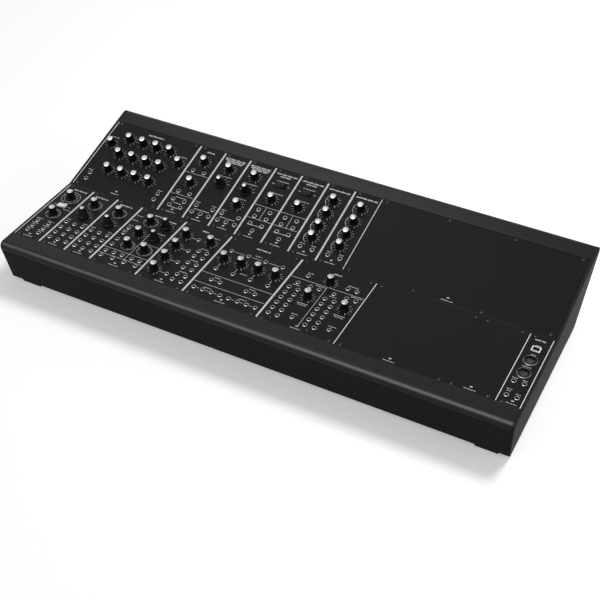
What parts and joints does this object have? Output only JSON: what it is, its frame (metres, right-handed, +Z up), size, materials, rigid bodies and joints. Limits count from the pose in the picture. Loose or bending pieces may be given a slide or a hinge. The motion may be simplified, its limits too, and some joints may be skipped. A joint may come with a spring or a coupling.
{
  "type": "modular synthesizer",
  "caption": "Desktop modular synthesizer: patch modules with turning knobs, selectors, rockers and sockets in a low wedge-shaped case.",
  "frame": {"origin": "on the surface that the feet stand on, under the middle of the case", "axes": "+X to the player's right, +Y to the back, +Z up"},
  "size_m": [0.7216, 0.3116, 0.1083],
  "materials": {
    "case": "fine-textured black powder coat",
    "cheek": "fine-textured black powder coat",
    "rail": "satin black anodised",
    "panel": "satin black with white print",
    "knob": "satin with a bright spun cap",
    "white_rocker": "gloss",
    "black_rocker": "satin",
    "circuit_board": "solder resist"
  },
  "bodies": {
    "case": {"floor_pan": "case", "front_rail": "rail", "middle_rail": "rail", "rear_rail": "rail", "right_cheek": "cheek", "left_cheek": "cheek", "bus_board": "circuit_board", "power_board": "circuit_board", "power_entry": "black_rocker", "oscillator_driver_module": "panel", "first_oscillator_module": "panel", "second_oscillator_module": "panel", "voltage_oscillator_module": "panel", "mixer_module": "panel", "attenuator_module": "panel", "controller_module": "panel", "lower_wide_blank_panel": "panel", "lower_narrow_blank_panel": "panel", "interface_module": "panel", "filter_bank_module": "panel", "noise_source_module": "panel", "high_pass_filter_module": "panel", "low_pass_filter_module": "panel", "first_amplifier_module": "panel", "second_amplifier_module": "panel", "first_envelope_module": "panel", "second_envelope_module": "panel", "upper_blank_panel": "panel"},
    "power_rocker": {"power_rocker": "black_rocker"},
    "oscillator_driver_knob_1": {"oscillator_driver_knob_1": "knob"},
    "oscillator_driver_knob_2": {"oscillator_driver_knob_2": "knob"},
    "oscillator_driver_rocker": {"oscillator_driver_rocker": "white_rocker"},
    "first_oscillator_knob": {"first_oscillator_knob": "knob"},
    "first_oscillator_selector": {"first_oscillator_selector": "knob"},
    "second_oscillator_knob": {"second_oscillator_knob": "knob"},
    "second_oscillator_selector": {"second_oscillator_selector": "knob"},
    "voltage_oscillator_knob_1": {"voltage_oscillator_knob_1": "knob"},
    "voltage_oscillator_knob_2": {"voltage_oscillator_knob_2": "knob"},
    "voltage_oscillator_knob_3": {"voltage_oscillator_knob_3": "knob"},
    "voltage_oscillator_knob_4": {"voltage_oscillator_knob_4": "knob"},
    "voltage_oscillator_selector_1": {"voltage_oscillator_selector_1": "knob"},
    "voltage_oscillator_selector_2": {"voltage_oscillator_selector_2": "knob"},
    "attenuator_knob_1": {"attenuator_knob_1": "knob"},
    "attenuator_knob_2": {"attenuator_knob_2": "knob"},
    "attenuator_knob_3": {"attenuator_knob_3": "knob"},
    "attenuator_knob_4": {"attenuator_knob_4": "knob"},
    "controller_knob_1": {"controller_knob_1": "knob"},
    "controller_knob_2": {"controller_knob_2": "knob"},
    "controller_knob_3": {"controller_knob_3": "knob"},
    "noise_source_knob_1": {"noise_source_knob_1": "knob"},
    "noise_source_knob_2": {"noise_source_knob_2": "knob"},
    "high_pass_filter_knob": {"high_pass_filter_knob": "knob"},
    "high_pass_filter_selector": {"high_pass_filter_selector": "knob"},
    "low_pass_filter_knob_1": {"low_pass_filter_knob_1": "knob"},
    "low_pass_filter_knob_2": {"low_pass_filter_knob_2": "knob"},
    "low_pass_filter_selector": {"low_pass_filter_selector": "knob"},
    "first_amplifier_knob": {"first_amplifier_knob": "knob"},
    "first_amplifier_rocker": {"first_amplifier_rocker": "black_rocker"},
    "second_amplifier_knob": {"second_amplifier_knob": "knob"},
    "second_amplifier_rocker": {"second_amplifier_rocker": "black_rocker"}
  },
  "joints": [
    {"name": "power_rocker_tilt", "type": "hinge", "parent": "case", "child": "power_rocker", "pos_m": [0.2605, 0.12789, 0.04042], "axis": [0, -0.454, -0.891], "range_deg": [0, 16]},
    {"name": "oscillator_driver_knob_1_turn", "type": "hinge", "parent": "case", "child": "oscillator_driver_knob_1", "pos_m": [-0.33528, -0.02866, 0.0685], "axis": [0, 0, 1], "range_deg": [-150, 150]},
    {"name": "oscillator_driver_knob_2_turn", "type": "hinge", "parent": "case", "child": "oscillator_driver_knob_2", "pos_m": [-0.33528, -0.06985, 0.0685], "axis": [0, 0, 1], "range_deg": [-150, 150]},
    {"name": "oscillator_driver_rocker_tilt", "type": "hinge", "parent": "case", "child": "oscillator_driver_rocker", "pos_m": [-0.33528, -0.04926, 0.0673], "axis": [0, 1, 0], "range_deg": [0, 16]},
    {"name": "first_oscillator_knob_turn", "type": "hinge", "parent": "case", "child": "first_oscillator_knob", "pos_m": [-0.29464, -0.02866, 0.0685], "axis": [0, 0, 1], "range_deg": [-150, 150]},
    {"name": "first_oscillator_selector_turn", "type": "hinge", "parent": "case", "child": "first_oscillator_selector", "pos_m": [-0.29464, -0.05628, 0.0685], "axis": [0, 0, 1], "range_deg": [-75, 75]},
    {"name": "second_oscillator_knob_turn", "type": "hinge", "parent": "case", "child": "second_oscillator_knob", "pos_m": [-0.254, -0.02866, 0.0685], "axis": [0, 0, 1], "range_deg": [-150, 150]},
    {"name": "second_oscillator_selector_turn", "type": "hinge", "parent": "case", "child": "second_oscillator_selector", "pos_m": [-0.254, -0.05628, 0.0685], "axis": [0, 0, 1], "range_deg": [-75, 75]},
    {"name": "voltage_oscillator_knob_1_turn", "type": "hinge", "parent": "case", "child": "voltage_oscillator_knob_1", "pos_m": [-0.20452, -0.02578, 0.0685], "axis": [0, 0, 1], "range_deg": [-150, 150]},
    {"name": "voltage_oscillator_knob_2_turn", "type": "hinge", "parent": "case", "child": "voltage_oscillator_knob_2", "pos_m": [-0.20452, -0.05528, 0.0685], "axis": [0, 0, 1], "range_deg": [-150, 150]},
    {"name": "voltage_oscillator_knob_3_turn", "type": "hinge", "parent": "case", "child": "voltage_oscillator_knob_3", "pos_m": [-0.20452, -0.08211, 0.0685], "axis": [0, 0, 1], "range_deg": [-150, 150]},
    {"name": "voltage_oscillator_knob_4_turn", "type": "hinge", "parent": "case", "child": "voltage_oscillator_knob_4", "pos_m": [-0.17821, -0.08211, 0.0685], "axis": [0, 0, 1], "range_deg": [-150, 150]},
    {"name": "voltage_oscillator_selector_1_turn", "type": "hinge", "parent": "case", "child": "voltage_oscillator_selector_1", "pos_m": [-0.18044, -0.02578, 0.0685], "axis": [0, 0, 1], "range_deg": [-75, 75]},
    {"name": "voltage_oscillator_selector_2_turn", "type": "hinge", "parent": "case", "child": "voltage_oscillator_selector_2", "pos_m": [-0.18044, -0.05528, 0.0685], "axis": [0, 0, 1], "range_deg": [-75, 75]},
    {"name": "attenuator_knob_1_turn", "type": "hinge", "parent": "case", "child": "attenuator_knob_1", "pos_m": [-0.0762, -0.04908, 0.0685], "axis": [0, 0, 1], "range_deg": [-150, 150]},
    {"name": "attenuator_knob_2_turn", "type": "hinge", "parent": "case", "child": "attenuator_knob_2", "pos_m": [-0.0508, -0.04908, 0.0685], "axis": [0, 0, 1], "range_deg": [-150, 150]},
    {"name": "attenuator_knob_3_turn", "type": "hinge", "parent": "case", "child": "attenuator_knob_3", "pos_m": [-0.0254, -0.04908, 0.0685], "axis": [0, 0, 1], "range_deg": [-150, 150]},
    {"name": "attenuator_knob_4_turn", "type": "hinge", "parent": "case", "child": "attenuator_knob_4", "pos_m": [0, -0.04908, 0.0685], "axis": [0, 0, 1], "range_deg": [-150, 150]},
    {"name": "controller_knob_1_turn", "type": "hinge", "parent": "case", "child": "controller_knob_1", "pos_m": [0.06858, -0.02866, 0.0685], "axis": [0, 0, 1], "range_deg": [-150, 150]},
    {"name": "controller_knob_2_turn", "type": "hinge", "parent": "case", "child": "controller_knob_2", "pos_m": [0.05527, -0.06627, 0.0685], "axis": [0, 0, 1], "range_deg": [-150, 150]},
    {"name": "controller_knob_3_turn", "type": "hinge", "parent": "case", "child": "controller_knob_3", "pos_m": [0.10607, -0.06627, 0.0685], "axis": [0, 0, 1], "range_deg": [-150, 150]},
    {"name": "noise_source_knob_1_turn", "type": "hinge", "parent": "case", "child": "noise_source_knob_1", "pos_m": [-0.19304, 0.09976, 0.09498], "axis": [0, -0.2588, 0.9659], "range_deg": [-150, 150]},
    {"name": "noise_source_knob_2_turn", "type": "hinge", "parent": "case", "child": "noise_source_knob_2", "pos_m": [-0.19304, 0.05996, 0.08432], "axis": [0, -0.2588, 0.9659], "range_deg": [-150, 150]},
    {"name": "high_pass_filter_knob_turn", "type": "hinge", "parent": "case", "child": "high_pass_filter_knob", "pos_m": [-0.1524, 0.09976, 0.09498], "axis": [0, -0.2588, 0.9659], "range_deg": [-150, 150]},
    {"name": "high_pass_filter_selector_turn", "type": "hinge", "parent": "case", "child": "high_pass_filter_selector", "pos_m": [-0.1524, 0.07307, 0.08783], "axis": [0, -0.2588, 0.9659], "range_deg": [-75, 75]},
    {"name": "low_pass_filter_knob_1_turn", "type": "hinge", "parent": "case", "child": "low_pass_filter_knob_1", "pos_m": [-0.11176, 0.09976, 0.09498], "axis": [0, -0.2588, 0.9659], "range_deg": [-150, 150]},
    {"name": "low_pass_filter_knob_2_turn", "type": "hinge", "parent": "case", "child": "low_pass_filter_knob_2", "pos_m": [-0.11176, 0.04812, 0.08115], "axis": [0, -0.2588, 0.9659], "range_deg": [-150, 150]},
    {"name": "low_pass_filter_selector_turn", "type": "hinge", "parent": "case", "child": "low_pass_filter_selector", "pos_m": [-0.11176, 0.07307, 0.08783], "axis": [0, -0.2588, 0.9659], "range_deg": [-75, 75]},
    {"name": "first_amplifier_knob_turn", "type": "hinge", "parent": "case", "child": "first_amplifier_knob", "pos_m": [-0.07112, 0.07307, 0.08783], "axis": [0, -0.2588, 0.9659], "range_deg": [-150, 150]},
    {"name": "first_amplifier_rocker_tilt", "type": "hinge", "parent": "case", "child": "first_amplifier_rocker", "pos_m": [-0.07112, 0.10007, 0.09382], "axis": [0, 0.9659, 0.2588], "range_deg": [0, 16]},
    {"name": "second_amplifier_knob_turn", "type": "hinge", "parent": "case", "child": "second_amplifier_knob", "pos_m": [-0.03048, 0.07307, 0.08783], "axis": [0, -0.2588, 0.9659], "range_deg": [-150, 150]},
    {"name": "second_amplifier_rocker_tilt", "type": "hinge", "parent": "case", "child": "second_amplifier_rocker", "pos_m": [-0.03048, 0.10007, 0.09382], "axis": [0, 0.9659, 0.2588], "range_deg": [0, 16]}
  ]
}
